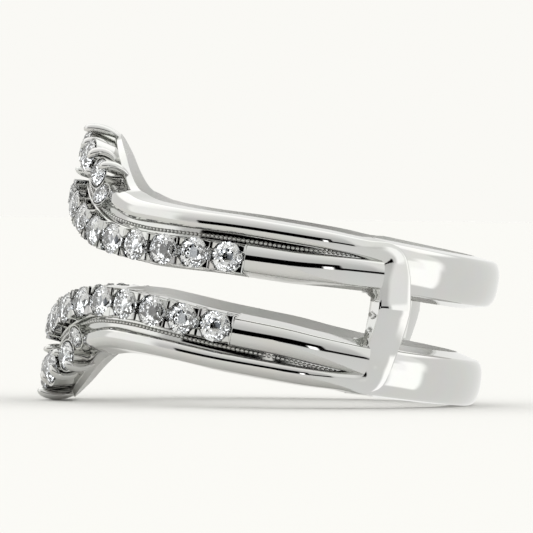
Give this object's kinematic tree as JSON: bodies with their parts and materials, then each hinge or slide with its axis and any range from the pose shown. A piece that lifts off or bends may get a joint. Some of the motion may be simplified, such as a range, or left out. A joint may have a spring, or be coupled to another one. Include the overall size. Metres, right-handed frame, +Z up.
{
  "type": "ring guard enhancer",
  "caption": "White-metal double-band ring guard with bridges, a gap for another ring, rails of small round stones and a pointed crown of larger stones above and below the gap.",
  "frame": {"origin": "on the surface that the ring lies on, under the middle of its box", "axes": "+X towards the back of the ring with the plain bands, -X towards the head with the crowns, +Z up; the finger hole's axis leans from +Z towards +X by 9.37 degrees, because the crowns are wider than the bands"},
  "size_m": [0.0216, 0.0208, 0.0131],
  "materials": {
    "metal": "polished white gold",
    "stone": "faceted and polished, clear"
  },
  "bodies": {
    "root": {"ring_frame": "metal", "rail_stones_upper": "stone", "rail_stones_lower": "stone", "centre_stone_upper": "stone", "centre_stone_lower": "stone", "side_stone_upper_near": "stone", "side_stone_upper_far": "stone", "side_stone_lower_near": "stone", "side_stone_lower_far": "stone", "outer_stone_upper_near": "stone", "outer_stone_upper_far": "stone", "outer_stone_lower_near": "stone", "outer_stone_lower_far": "stone", "end_stone_upper_near": "stone", "end_stone_upper_far": "stone", "end_stone_lower_near": "stone", "end_stone_lower_far": "stone"}
  },
  "joints": []
}
